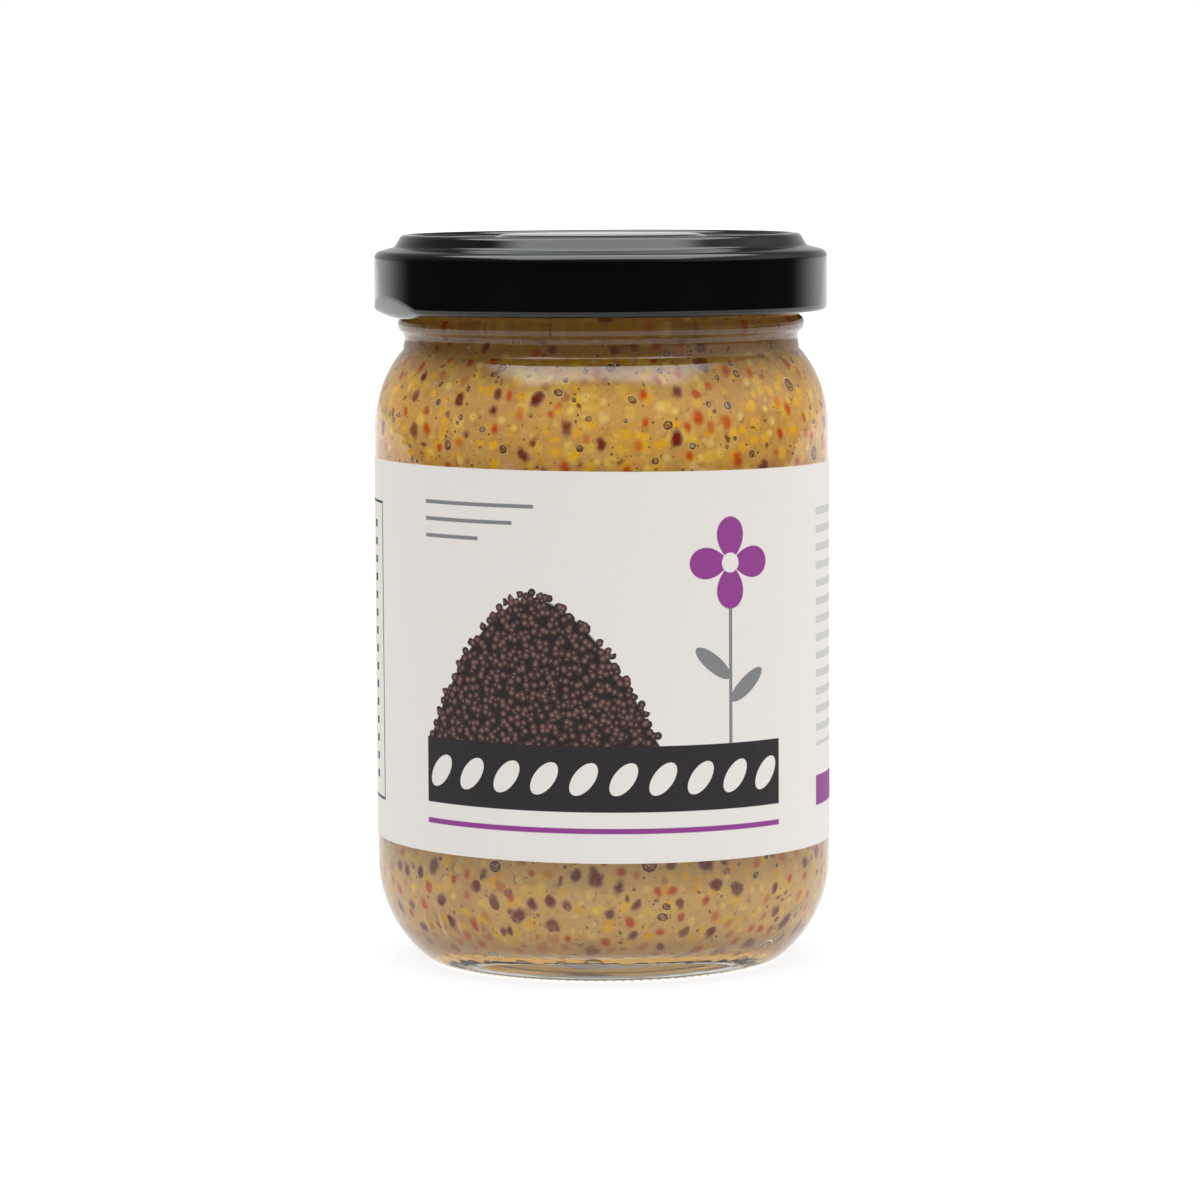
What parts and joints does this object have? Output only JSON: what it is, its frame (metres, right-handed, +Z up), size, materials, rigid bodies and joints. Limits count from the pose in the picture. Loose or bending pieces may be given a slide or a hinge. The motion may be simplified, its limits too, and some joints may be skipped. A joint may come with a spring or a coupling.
{
  "type": "mustard jar",
  "caption": "Squat round glass jar of wholegrain mustard with a black twist-off cap and a wide paper label wrapped round the body.",
  "frame": {"origin": "middle of the base, on the plane that the jar stands on", "axes": "+Z up along the jar's axis; -Y is the front, where the middle of the label faces"},
  "size_m": [0.0618, 0.0618, 0.0974],
  "materials": {
    "clear_glass": "clear colourless glass, smooth outside with fine moulding marks at the heel and a stippled bearing ring",
    "wholegrain_mustard": "moist tan paste crowded with whole and crushed yellow, orange and dark seeds and small air bubbles",
    "black_lacquer": "gloss black lacquer on thin pressed steel",
    "label_paper": null
  },
  "bodies": {
    "root": {"jar_glass": "clear_glass", "mustard": "wholegrain_mustard", "cap": "black_lacquer", "label": "label_paper"}
  },
  "joints": []
}
